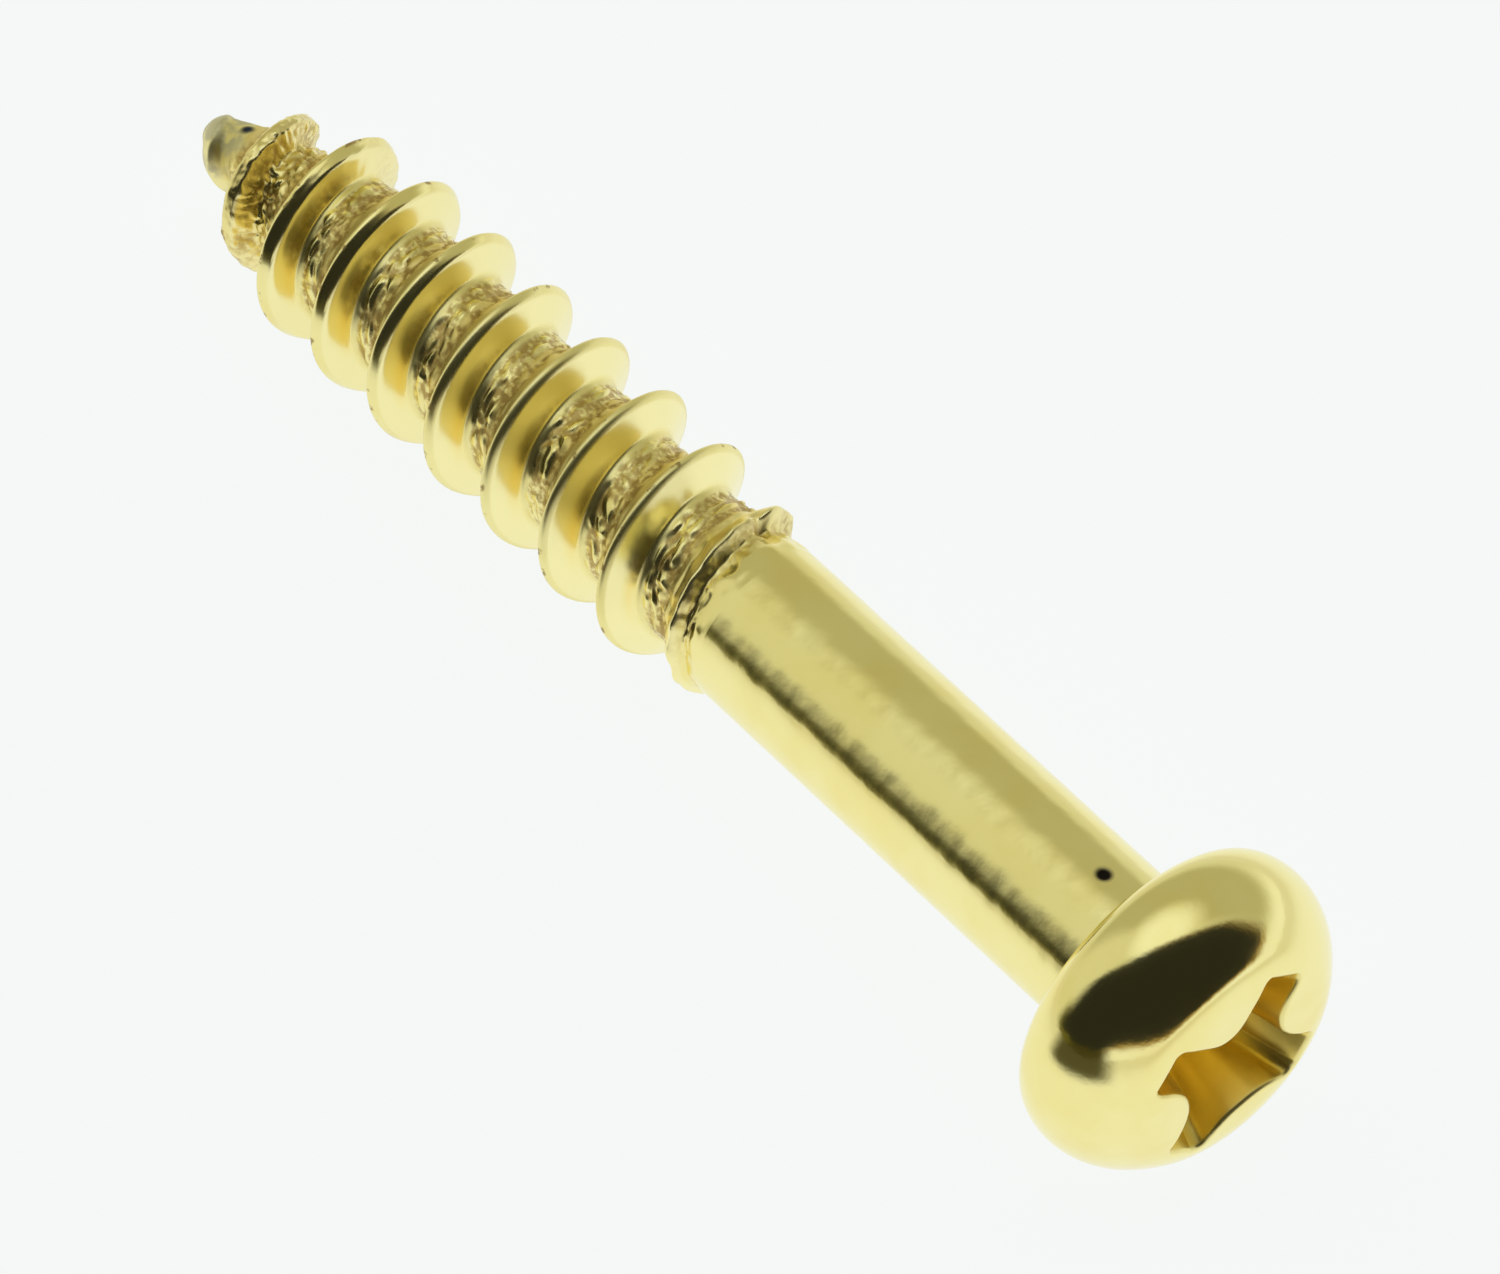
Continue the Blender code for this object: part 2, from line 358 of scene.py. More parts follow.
def select_long_edges(piece):
    """Selects only the edges that run along the axis."""
    bpy.ops.object.mode_set(mode="OBJECT")
    for face in piece.data.polygons:
        face.select = False
    for vert in piece.data.vertices:
        vert.select = False
    for edge in piece.data.edges:
        first, second = (piece.data.vertices[i].co for i in edge.vertices)
        edge.select = abs(first.x - second.x) > WELD
    bpy.ops.object.mode_set(mode="EDIT")


def eased(share):
    """A share that starts and ends gently."""
    return share * share * (3 - 2 * share)


def fade_at_ends(x, low, high):
    """1 along a piece and 0 at its two ends, so that neighbours still meet."""
    return limited(min(x - low, high - x) / END_FADE)


bpy.ops.object.mode_set(mode="EDIT")
bpy.ops.mesh.select_mode(type="EDGE")
for cuts in SHANK_CUTS:
    select_long_edges(shank)
    bpy.ops.mesh.subdivide(number_cuts=cuts)
weld_and_face_out()
bpy.ops.object.mode_set(mode="OBJECT")
for vert in shank.data.vertices:
    radial = Vector((0, vert.co.y, vert.co.z)).normalized()
    peel = noise.noise(vert.co / PEEL_SIZE) * PEEL_HEIGHT
    pit = max(1 - (vert.co - PIT_PLACE).length / PIT_RADIUS, 0.0)
    vert.co += radial * (peel * fade_at_ends(vert.co.x, SHANK_END_X, NECK_X) - PIT_DEPTH * eased(pit))
print("finished shank:", len(shank.data.polygons), "faces")

# %% [markdown]
# The thread is rolled: two flat dies squeeze thin ridges up out of the wire and leave wide roots between
# them. One ridge's outline, exactly one pitch long, is drawn and swept by the Screw modifier, so that each
# turn joins the next. A boolean of a coil and a rod would leave seams at the foot of the ridge. Places on the
# outline are offsets from the crest, negative towards the tip.

# %% Thread form
PITCH = 1.39
CREST_OFFSET = 0.1
CREST_RADIUS = 1.75
ROOT_RADIUS = 1.19
TIP_FOOT = -0.52
TIP_FILLET = (-0.27, 0.2)
HALF_CREST = 0.03
BEVEL_SLOPE = 1.08
BEVEL_WIDTHS = (0.03, 0.18)
HEAD_FOOT = 0.36
# Where each stretch of the ridge starts, and how many points it has.
RIDGE_POINTS = ((TIP_FOOT, 10), (TIP_FILLET[0], 8), (-HALF_CREST, 3), (HALF_CREST, 10), (0.24, 6))
ROOT_POINTS = 16
ROUNDING = 0.03
ROUNDING_SAMPLES = 4
OUTLINE_END = 0.75


def ridge_line(offset, bevel):
    """Height of the ridge, 0 in the root and 1 on the crest, with straight flanks and sharp bends."""
    stops = (
        (TIP_FOOT, 0.0), TIP_FILLET, (-HALF_CREST, 1.0), (HALF_CREST, 1.0),
        (HALF_CREST + bevel, 1 - BEVEL_SLOPE * bevel), (HEAD_FOOT, 0.0),
    )
    for (x0, h0), (x1, h1) in zip(stops, stops[1:]):
        if x0 <= offset <= x1:
            return h0 + (h1 - h0) * (offset - x0) / (x1 - x0)
    return 0.0


def ridge_height(offset, bevel):
    """The same height with its bends rounded, as the mean of a short stretch."""
    if not TIP_FOOT - ROUNDING < offset < HEAD_FOOT + ROUNDING:
        return 0.0
    span = range(-ROUNDING_SAMPLES, ROUNDING_SAMPLES + 1)
    return sum(ridge_line(offset + ROUNDING * i / ROUNDING_SAMPLES, bevel) for i in span) / len(span)


def ridge_offsets():
    """Where the outline has its points, from one root's middle over the crest to the next."""
    offsets = []
    ends = [x for x, _ in RIDGE_POINTS[1:]] + [HEAD_FOOT]
    for (x0, count), x1 in zip(RIDGE_POINTS, ends):
        offsets += [x0 + (x1 - x0) * step / count for step in range(count)]
    gap = PITCH - (HEAD_FOOT - TIP_FOOT)
    root = [HEAD_FOOT + gap * step / ROOT_POINTS for step in range(ROOT_POINTS)]
    after = [x for x in root if x <= OUTLINE_END]
    before = [x - PITCH for x in root if x > OUTLINE_END]
    start = after[-1] - PITCH
    return [start] + before + offsets + after


print("ridge outline:", len(ridge_offsets()), "points over", PITCH, "mm")

# %% [markdown]
# No operator swells a ridge along its own path, so each point of the swept thread will be moved in or out by
# its place: how many turns along the thread it lies, and how far past a crest. These helpers find that
# place, and give values that go from stage to stage along the way.

# %% Places on the thread


def share_of(x, start, length):
    """How far a place lies along a stretch towards the tip, from 0 to 1."""
    return limited((start - x) / length)


def ramp(value, low, high):
    """0 below low, 1 above high, and gentle between."""
    return eased(limited((value - low) / (high - low)))


def bell(offset, width):
    """1 in the middle, fading on both sides."""
    return math.exp(-((offset / width) ** 2))


def staged(turns, stages):
    """A value that goes from stage to stage along the thread."""
    for (t0, v0), (t1, v1) in zip(stages, stages[1:]):
        if turns < t1:
            return v0 + (v1 - v0) * ramp(turns, t0, t1)
    return stages[-1][1]


def thread_place(point):
    """Turns along the thread, counted from the head, and millimetres past the last crest on the tip side."""
    angle = math.atan2(point.z, point.y) % math.tau
    passed = (point.x + CREST_OFFSET) / PITCH - angle / math.tau
    return angle / math.tau + math.floor(passed), (passed - math.floor(passed)) * PITCH


def crest_turns(turns, past):
    """Turns along the nearest ridge: both its flanks have the same, and the change lies in the root."""
    return turns + ramp(past, HEAD_FOOT, PITCH + TIP_FOOT)


print("turns at the shank's end:", round(thread_place(Vector((SHANK_END_X, 0, 1)))[0], 2))

# %% [markdown]
# The ridge runs level along the shaft, sinks into the shank over its last turn, and closes to a blunt gimlet
# point at the other end. Where the dies let go of the wire, a groove sets the sinking turn off, and the
# metal is uneven, with one deep hole. Tapering the whole sweep at once would thin the roots as fast as the
# crests, so each has its own radius.

# %% Run-out and taper
POINT_LENGTH = POINT_X - TIP_X
POINT_CREST_CURVE = 1.85
POINT_ROOT_CURVE = 1.2
TIP_RADIUS = 0.24
SHANK_FADE = 0.35
ROOT_ENDS = (-7.42, -6.93)
CREST_STAGES = ((-7.5, 1.0), (-6.95, 0.58), (-6.7, 0.34), (-6.43, 0.42), (-6.15, 0.0))
GROOVE_STAGES = ((-7.15, 0.0), (-6.95, 1.0), (-6.7, 0.8), (-6.48, 0.0))
GROOVE_DEPTH = 0.09
GROOVE_PLACE = 0.15
GROOVE_SIDES = (0.06, 0.3)
GROOVE_WANDER = 0.03
WANDERS_PER_TURN = 14
WANDER_ROW = 3.0
TORN_GROOVE_STAGES = ((-7.3, 0.0), (-7.1, 0.8), (-6.6, 0.8), (-6.35, 0.0))
TORN_GROOVE_WIDTH = 0.2
LAST_TURN = -7.1
RAGGED = 0.055
RAGGED_SIZE = 0.3
RAGGED_FADE = 0.2
HOLE_PLACE = Vector((-9.56, 0.7, 1.27))
HOLE_RADIUS = 0.3
HOLE_DEPTH = 0.2


def root_radius(x, turns):
    """Radius between the ridges: the groove ends along the last turn, and closes to the tip."""
    depth = 1 - ramp(turns, *ROOT_ENDS)
    depth *= eased(share_of(x, SHANK_END_X, SHANK_FADE))
    body = SHANK_RADIUS + (ROOT_RADIUS - SHANK_RADIUS) * depth
    return body + (TIP_RADIUS - body) * share_of(x, POINT_X, POINT_LENGTH) ** POINT_ROOT_CURVE


def crest_radius(x, turns):
    """Radius of the ridge: it sinks into the shank along the last turn, and closes to the tip."""
    height = staged(turns, CREST_STAGES) * eased(share_of(x, SHANK_END_X, SHANK_FADE))
    body = SHANK_RADIUS + (CREST_RADIUS - SHANK_RADIUS) * height
    return body + (TIP_RADIUS - body) * share_of(x, POINT_X, POINT_LENGTH) ** POINT_CREST_CURVE


def last_groove(turns, past):
    """Depth of the groove that sets the last, sinking turn off from the end of the shank."""
    wander = noise.noise(Vector((turns * WANDERS_PER_TURN, WANDER_ROW, 0)))
    place = GROOVE_PLACE + GROOVE_WANDER * wander
    steep, gentle = GROOVE_SIDES
    across = bell(past - place, steep if past < place else gentle)
    return GROOVE_DEPTH * staged(turns, GROOVE_STAGES) * across


def run_out_skin(turns, past):
    """1 in the middle of the last groove, where the skin is torn, and 0 on the plain metal beside it."""
    return staged(turns, TORN_GROOVE_STAGES) * bell(past - GROOVE_PLACE, TORN_GROOVE_WIDTH)


def ragged(point, turns):
    """Unevenness of the last turn, where the dies let go of the wire, with one deep hole."""
    share = staged(turns, ((LAST_TURN - RAGGED_FADE, 0.0), (LAST_TURN, 1.0)))
    share *= eased(share_of(point.x, SHANK_END_X, SHANK_FADE))
    hole = max(1 - (point - HOLE_PLACE).length / HOLE_RADIUS, 0.0)
    return RAGGED * share * noise.noise(point / RAGGED_SIZE) - HOLE_DEPTH * eased(hole)


halfway = (POINT_X + TIP_X) / 2
halfway_turns = halfway / PITCH
print("root halfway along the point:", round(root_radius(halfway, halfway_turns), 2))
print("crest halfway along the point:", round(crest_radius(halfway, halfway_turns), 2))

# %% [markdown]
# Rolling leaves the roots crumpled, with folds drawn out along the thread and small black pits, while the
# flanks stay smooth. Near the tip the skin is torn in all directions. A bump in the material would leave the
# outline smooth, so the folds are real shape, made by moving points, in a measure that runs along the thread
# and across the root. Noise in three directions starts from the clock unless a seed is set, so one is set.

# %% Wrinkled roots
FOLD_SEED = 3
FOLD_LENGTH = 0.46
FOLD_WIDTH = 0.18
FOLD_WARP = (0.5, 0.8)
FOLD_STEEPNESS = 1.5
FOLD_RISE = 1.2
FOLD_BASE = 0.8
FOLD_LUMPS = 0.7
LUMP_FINENESS = 0.8
LUMP_OCTAVES = (1.0, 2.0, 3)
FOLD_ZONE = ((0.38, 0.5), (0.92, 1.08))
TORN_SIZE = 0.2
TORN_WARP = (0.6, 0.6)
TORN_RISE = 1.6
TORN_CAP = 0.8
TORN_BASE = 0.6
TORN_LUMPS = 0.6
TORN_LUMP_FINENESS = 0.5

noise.seed_set(FOLD_SEED)


def from_crease(place, fineness, strength):
    """How far a place lies from the nearest crease between cells, all warped by noise."""
    warp = noise.noise_vector(place * fineness) * strength
    distances, _ = noise.voronoi(place + warp)
    return distances[1] - distances[0]


def fold(along, across):
    """Height of the crumpled skin of the root, from about -1 in a crease to 1 on a fold."""
    place = Vector((along / FOLD_LENGTH, across / FOLD_WIDTH, 0))
    crease = min(from_crease(place, *FOLD_WARP) * FOLD_STEEPNESS, 1.0)
    lumps = noise.fractal(place * LUMP_FINENESS, *LUMP_OCTAVES)
    return FOLD_RISE * eased(crease) - FOLD_BASE + FOLD_LUMPS * lumps


def torn_skin(point):
    """Height of the torn skin near the tip, in all directions alike."""
    place = point / TORN_SIZE
    crease = min(from_crease(place, *TORN_WARP), TORN_CAP)
    return TORN_RISE * crease - TORN_BASE + TORN_LUMPS * noise.noise(place * TORN_LUMP_FINENESS)


def in_folds(past):
    """1 in the crumpled middle of the root, 0 on the smooth margins beside it."""
    into, out_of = FOLD_ZONE
    return ramp(past, *into) * (1 - ramp(past, *out_of))


print("a fold near the shank:", round(fold(0.0, 0.0), 3))

# %% [markdown]
# Now the outline is swept and cut flat at both ends. The threaded shaft and the point are swept from the same
# row of crests and shaped by the same rules, so the two meet exactly. A sweep that stopped at the planes
# would end in a step, so it runs on past them and is cut.

# %% Sweep
THREAD_STEPS = 236
TURNS_BEFORE = 2
TURNS_AFTER = 1


def sweep_thread(name, low_x, high_x):
    """The thread between two planes, still at one size all along, closed at both ends."""
    first = math.floor((low_x + CREST_OFFSET) / PITCH) - TURNS_BEFORE
    start = -CREST_OFFSET + first * PITCH
    outline = [(start + offset, 1 + ridge_height(offset, BEVEL_WIDTHS[0])) for offset in ridge_offsets()]
    piece = draw_outline(name, outline)
    bpy.ops.object.mode_set(mode="OBJECT")
    turns = math.ceil((high_x - start) / PITCH) + TURNS_AFTER
    apply_modifier(
        piece, "SCREW", axis="X", angle=math.tau, screw_offset=PITCH, iterations=turns,
        steps=THREAD_STEPS, render_steps=THREAD_STEPS, use_merge_vertices=True, merge_threshold=WELD,
    )
    bpy.ops.object.mode_set(mode="EDIT")
    weld_and_face_out()
    cut_off(low_x, "above")
    cut_off(high_x, "below")
    weld_and_face_out()
    bpy.ops.object.mode_set(mode="OBJECT")
    return piece


thread = sweep_thread("rolled_thread", POINT_X, SHANK_END_X)
point = sweep_thread("gimlet_tip", TIP_X, POINT_X)
print("swept:", len(thread.data.polygons), "and", len(point.data.polygons), "faces")

# %% [markdown]
# Every point of the sweep is then moved to its place. Sculpting could do it by hand, but a rule for all
# points keeps the ridge even. The rule also measures each point for the finish: how high on the ridge it
# lies, how deep in a crease, how rough and torn its skin is, how far the dies had let go of it, whether it
# lies on the tip side of a crest, how like the plain shank it is, and how near the foot of the ridge on the
# side towards -y and up, where an orange glow is painted.

# %% Shape of each point
THREAD_MEASURES = ("ridge", "crease", "rough", "torn", "let_go", "behind", "plain", "foot_glow")
BEVEL_CURVE = 1.6
LAST_SHARPNESS = 2.4
SLOPE_STEP = 0.02
FOLD_HEIGHT = 0.036
TORN_HEIGHT = 0.06
ROUGH_POINT = (-18.7, 1.2)
SMOOTH_TIP = (-20.9, 0.4)
SMOOTHER_RIDGE = 0.4
LIP_HEIGHT = 0.007
LIP_PLACE = 0.4
LIP_WIDTH = 0.04
CREST_WAVER = 0.012
WAVERS_PER_TURN = 9.7
WAVER_ROW = 7.0
TIP_ROUNDING = 0.22
TIP_CLOSING = 0.8
HOOK = (-20.9, 1.2)
HOOK_SHIFT = Vector((0, -0.12, -0.06))
BEHIND_START = -0.6
PLAIN_LENGTH = 1.2
FOOT_MIDDLE = 0.25
FOOT_SIDE = (0.3, 1.3)
FOOT_LEVEL = (-0.5, 0.5)


def bevel_width(x):
    """Width of the bevel on the head side of the crest, which grows towards the tip."""
    narrow, wide = BEVEL_WIDTHS
    return narrow + (wide - narrow) * share_of(x, SHANK_END_X, SHANK_END_X - POINT_X) ** BEVEL_CURVE


def skin_shares(x, turns, past, ridge, root):
    """How deep the root is, how far the skin is torn and let go, and how rough it is in all, from 0 to 1."""
    skin = min((SHANK_RADIUS - root) / (SHANK_RADIUS - ROOT_RADIUS), 1.0)
    to_tip = 1 - share_of(x, *SMOOTH_TIP)
    torn = share_of(x, *ROUGH_POINT) * to_tip * (1 - SMOOTHER_RIDGE * ridge)
    let_go = run_out_skin(turns, past)
    return skin, torn, let_go, max(in_folds(past) * skin * to_tip, torn, let_go)


def shaped(co):
    """Where a point of the swept thread belongs, and its measures in the order of their names."""
    x, radius = co.x, math.hypot(co.y, co.z)
    turns, past = thread_place(co)
    nearest = crest_turns(turns, past)
    offset = past if past <= OUTLINE_END else past - PITCH
    if turns > LAST_TURN and offset > 0:
        offset *= LAST_SHARPNESS
    bevel = bevel_width(x)
    ridge = ridge_height(offset, bevel)
    root, crest = root_radius(x, turns), crest_radius(x, nearest)
    lean = (ridge_height(offset + SLOPE_STEP, bevel) - ridge) / SLOPE_STEP * (crest - root)
    skin, torn, let_go, rough = skin_shares(x, turns, past, ridge, root)
    smooth_radius = root + (crest - root) * ridge
    share = smooth_radius / max(radius, WELD)
    tearing = max(torn, let_go)
    folds = fold(turns * math.tau * ROOT_RADIUS, past) * (1 - tearing)
    tears = torn_skin(Vector((x, co.y * share, co.z * share))) * tearing
    crumple = (folds + tears) * rough
    push = (FOLD_HEIGHT + (TORN_HEIGHT - FOLD_HEIGHT) * torn) * crumple / math.hypot(1, lean)
    lip = LIP_HEIGHT * skin * bell(past - LIP_PLACE, LIP_WIDTH)
    waver = CREST_WAVER * noise.noise(Vector((nearest * WAVERS_PER_TURN, WAVER_ROW, 0))) * ridge
    wanted = smooth_radius + push + lip + waver
    if radius > WELD:
        co.y *= wanted / radius
        co.z *= wanted / radius
        wanted += ragged(co, nearest) - last_groove(turns, past)
        from_tip = min((x - TIP_X) / TIP_ROUNDING, 1.0)
        wanted *= math.sqrt(1 - TIP_CLOSING * (1 - from_tip) ** 2)
        co = Vector((0, co.y, co.z)).normalized() * wanted + Vector((x, 0, 0))
    if min(abs(x - plane) for plane in (TIP_X, POINT_X, SHANK_END_X)) > WELD:
        co.x -= push * lean
    co += HOOK_SHIFT * share_of(x, *HOOK) ** 2
    height = limited((crest - root) / (CREST_RADIUS - ROOT_RADIUS))
    behind = height if BEHIND_START < offset < -HALF_CREST else 0.0
    plain = (1 - eased(share_of(x, SHANK_END_X, PLAIN_LENGTH))) * (1 - ridge * height)
    # where the orange glow is painted: the foot of the ridge, only on the side towards -y and up
    foot_glow = max(1 - abs(ridge - FOOT_MIDDLE) / FOOT_MIDDLE, 0.0) * height * (1 - rough)
    foot_glow *= ramp(-co.y / ROOT_RADIUS, *FOOT_SIDE)
    foot_glow *= ramp(co.z / ROOT_RADIUS, *FOOT_LEVEL)
    return co, (ridge * height, crumple, rough, torn, let_go, behind, plain, foot_glow)


print("bevel at the shank and at the point:", bevel_width(SHANK_END_X), bevel_width(POINT_X))

# %% Thread and point, shaped


def shape_thread(piece):
    """Moves every point of a swept thread to its place and keeps its measures on the mesh."""
    rows = []
    for vert in piece.data.vertices:
        vert.co, measures = shaped(vert.co.copy())
        rows.append(measures)
    for name, values in zip(THREAD_MEASURES, zip(*rows)):
        layer = piece.data.attributes.new(name, "FLOAT", "POINT")
        layer.data.foreach_set("value", values)


for piece in (thread, point):
    shape_thread(piece)
    print("shaped", piece.name, "with", len(piece.data.attributes), "attributes")

# %% [markdown]
# Each piece now shrinks from the bench to its real size. Its place goes into its mesh, its edges are
# shaded smooth except at the flat cuts, and it takes the place of its section of the solid model.

# %% Real size and place in the frame
SHADE_ANGLE = math.radians(62)
DRESSED = (
    (head, "head", "head_plating"),
    (shank, "shank", "shank_plating"),
    (thread, "threaded_shaft", "thread_plating"),
    (point, "gimlet_point", "point_plating"),
)

for piece, node, slot in DRESSED:
    bpy.ops.object.select_all(action="DESELECT")
    piece.select_set(True)
    bpy.context.view_layer.objects.active = piece
    piece.scale = (MM, MM, MM)
    bpy.ops.object.transform_apply(location=True, rotation=True, scale=True)
    bpy.ops.object.shade_smooth_by_angle(angle=SHADE_ANGLE)
    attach(piece, "root")
    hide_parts(node)
    print(piece.name, "stands for", node, "with", len(piece.data.polygons), "faces")

# %% [markdown]
# Materials are built from nodes, and the arithmetic between them is easier to read as Python. This small
# class wraps one socket: an operator on it adds a Math node, and its node method adds any other node.

# %% Sockets that do sums


class Wire:
    """One output socket of a node tree, with arithmetic that adds Math nodes."""

    def __init__(self, tree, socket=None):
        self.tree = tree
        self.socket = socket

    def node(self, kind, settings=None, inputs=None, output=0):
        """Adds a node, sets it, feeds its sockets by name or number, and wraps one of its outputs."""
        made = self.tree.nodes.new(kind)
        for name, value in (settings or {}).items():
            setattr(made, name, value)
        for name, value in (inputs or {}).items():
            if isinstance(value, Wire):
                self.tree.links.new(value.socket, made.inputs[name])
            else:
                made.inputs[name].default_value = value
        return Wire(self.tree, made.outputs[output])

    def sum(self, operation, first, second):
        """Adds a Math node for two numbers, either of which may be a wire."""
        return self.node("ShaderNodeMath", {"operation": operation}, {0: first, 1: second})

    def __add__(self, other):
        return self.sum("ADD", self, other)

    def __radd__(self, other):
        return self.sum("ADD", other, self)

    def __sub__(self, other):
        return self.sum("SUBTRACT", self, other)

    def __rsub__(self, other):
        return self.sum("SUBTRACT", other, self)

    def __mul__(self, other):
        return self.sum("MULTIPLY", self, other)

    def __rmul__(self, other):
        return self.sum("MULTIPLY", other, self)


print("sockets ready")

# %% Helpers for values, colours and vectors
VECTOR_OUTPUT = 0
VALUE_OUTPUT = 1
FACTOR_OUTPUT = 2
MIXED_COLOUR_OUTPUT = 2


def rise(value, low, high):
    """0 below low, 1 above high, and smooth between."""
    return value.node(
        "ShaderNodeMapRange", {"interpolation_type": "SMOOTHSTEP"},
        {"Value": value, "From Min": low, "From Max": high},
    )


def crossfade(first, second, share):
    """A value between two wires of value."""
    return first * (1 - share) + second * share


def blend(first, second, share):
    """A colour between two, or between two wires of colour, which a Mix node takes in its inputs 6 and 7."""
    return share.node(
        "ShaderNodeMix", {"data_type": "RGBA"}, {0: share, 6: first, 7: second}, MIXED_COLOUR_OUTPUT
    )


def vectors(operation, first, second, output):
    """A sum of two vectors, with its vector or its value as the output."""
    return first.node("ShaderNodeVectorMath", {"operation": operation}, {0: first, 1: second}, output)


print("values, colours and vectors ready")

# %% [markdown]
# The finish is one bright yellow plating on every section: a metal whose colour drifts a little, whose
# gloss varies, and whose skin has a fine orange peel. It could be one flat colour, but bright metal shows
# its unevenness in every reflection. All measures are in millimetres, read from Object coordinates. Each
# noise is given by its fineness per millimetre and its detail.

# %% Plating
LEMON_GOLD = (0.96, 0.87, 0.40, 1)
DEEP_GOLD = (0.94, 0.82, 0.33, 1)
COLOUR_NOISE = (0.9, 3.0)
COLOUR_SPREAD = (0.35, 0.75)
OBJECT_OUTPUT = 3
EVEN = (1, 1, 1)


def start_plating(name):
    """A new material's tree, the place on the surface in millimetres, and its shader."""
    material = bpy.data.materials.new(name)
    material.use_nodes = True
    tree = material.node_tree
    shader = tree.nodes["Principled BSDF"]
    shader.inputs["Metallic"].default_value = 1.0
    place = Wire(tree).node("ShaderNodeTexCoord", output=OBJECT_OUTPUT)
    place = place.node("ShaderNodeVectorMath", {"operation": "SCALE"}, {0: place, "Scale": 1 / MM})
    return material, place, shader


def grain(place, per_mm, detail, stretch=EVEN):
    """Soft noise of a given fineness, from 0 to 1."""
    spread = vectors("MULTIPLY", place, stretch, VECTOR_OUTPUT)
    return place.node(
        "ShaderNodeTexNoise", None, {"Vector": spread, "Scale": per_mm, "Detail": detail}
    )


def kept_measure(place, name):
    """A measure that was kept on the points of the mesh."""
    return place.node("ShaderNodeAttribute", {"attribute_name": name}, output=FACTOR_OUTPUT)


def finish_plating(piece, material, shader, colour, roughness, height):
    """Feeds the shader with colour, roughness and the skin's height in millimetres, and plates the piece."""
    tree = material.node_tree
    bump = height.node("ShaderNodeBump", None, {"Height": height, "Strength": 1.0, "Distance": MM})
    tree.links.new(colour.socket, shader.inputs["Base Color"])
    tree.links.new(roughness.socket, shader.inputs["Roughness"])
    tree.links.new(bump.socket, shader.inputs["Normal"])
    piece.data.materials.clear()
    piece.data.materials.append(material)


def drifting_gold(place):
    """The plating's colour, which drifts between lemon and deep gold."""
    return blend(LEMON_GOLD, DEEP_GOLD, rise(grain(place, *COLOUR_NOISE), *COLOUR_SPREAD))


def drifting_gloss(place, fineness, least, spread):
    """Roughness that drifts upwards from its least."""
    return least + grain(place, *fineness) * spread


print("plating ready")

# %% [markdown]
# The head is the brightest section, but in its recess the punch has rubbed the metal dull, and a deeper
# amber is painted there: a painted reflection of the gold in itself, which is all the recess mirrors. An
# image painted on would do it too, but the kept depth of each point says exactly where the recess is.

# %% Head plating
# painted reflection: the deeper amber painted into the recess for the gold's light bounced inside it
RECESS_PAINTED_BOUNCE = (1.0, 0.77, 0.17, 1)
RECESS_BOUNCE_DEPTH = (0.0, 0.08)
RECESS_BOUNCE_SHARE = 0.9
RECESS_DULL_DEPTH = (0.0, 0.012)
RECESS_DULLNESS = 0.26
GLOSS_NOISE = (2.0, 4.0)
HEAD_GLOSS = (0.09, 0.05)
HEAD_LUMPS = (5.0, 2.0)
HEAD_LUMP_HEIGHT = 0.0016
HEAD_SPECKS = (17.0, 2.0)
HEAD_SPECK_HEIGHT = 0.0005

material, place, shader = start_plating("head_plating")
pressed = kept_measure(place, "sunk")
# painted reflection: the recess turns deeper amber with its depth, for light bounced between its gold walls
colour = blend(drifting_gold(place), RECESS_PAINTED_BOUNCE, rise(pressed, *RECESS_BOUNCE_DEPTH) * RECESS_BOUNCE_SHARE)
gloss = drifting_gloss(place, GLOSS_NOISE, *HEAD_GLOSS)
gloss = gloss + rise(pressed, *RECESS_DULL_DEPTH) * RECESS_DULLNESS
peel = grain(place, *HEAD_LUMPS) * HEAD_LUMP_HEIGHT + grain(place, *HEAD_SPECKS) * HEAD_SPECK_HEIGHT
finish_plating(head, material, shader, colour, gloss, peel)
print("head plated, recess deepest at", max(sunk))

# %% [markdown]
# The shank keeps the soft lumps of bright plating and faint marks of the drawing die along it. Only the black
# pit breaks its finish. The pit could be a piece of its own, but a colour by the distance from its middle
# is enough.

# %% Shank plating
PIT_BLACK = (0.02, 0.015, 0.012, 1)
PIT_EDGE = (0.08, 0.19)
PIT_DULLNESS = 0.5
SHANK_GLOSS = (0.1, 0.08)
SHANK_LUMPS = (3.2, 1.0)
SHANK_LUMP_HEIGHT = 0.003
SHANK_SPECKS = (11.0, 1.0)
DRAWN_MARKS = (7.0, 1.0, (0.25, 1, 1))
SHANK_MARK_HEIGHT = 0.0008


def shank_peel(place):
    """Height of the orange peel on the plain wire: soft lumps and faint marks of the drawing die."""
    lumps = grain(place, *SHANK_LUMPS) * SHANK_LUMP_HEIGHT
    lumps = lumps + grain(place, *SHANK_SPECKS) * SHANK_MARK_HEIGHT
    return lumps + grain(place, *DRAWN_MARKS) * SHANK_MARK_HEIGHT


def around_spot(place, spot, edge):
    """1 in a spot and 0 away from it, with a soft edge between two distances."""
    return 1 - rise(vectors("DISTANCE", place, spot, VALUE_OUTPUT), *edge)


material, place, shader = start_plating("shank_plating")
pitted = around_spot(place, PIT_PLACE, PIT_EDGE)
colour = blend(drifting_gold(place), PIT_BLACK, pitted)
gloss = drifting_gloss(place, GLOSS_NOISE, *SHANK_GLOSS) + pitted * PIT_DULLNESS
finish_plating(shank, material, shader, colour, gloss, shank_peel(place))
print("shank plated")
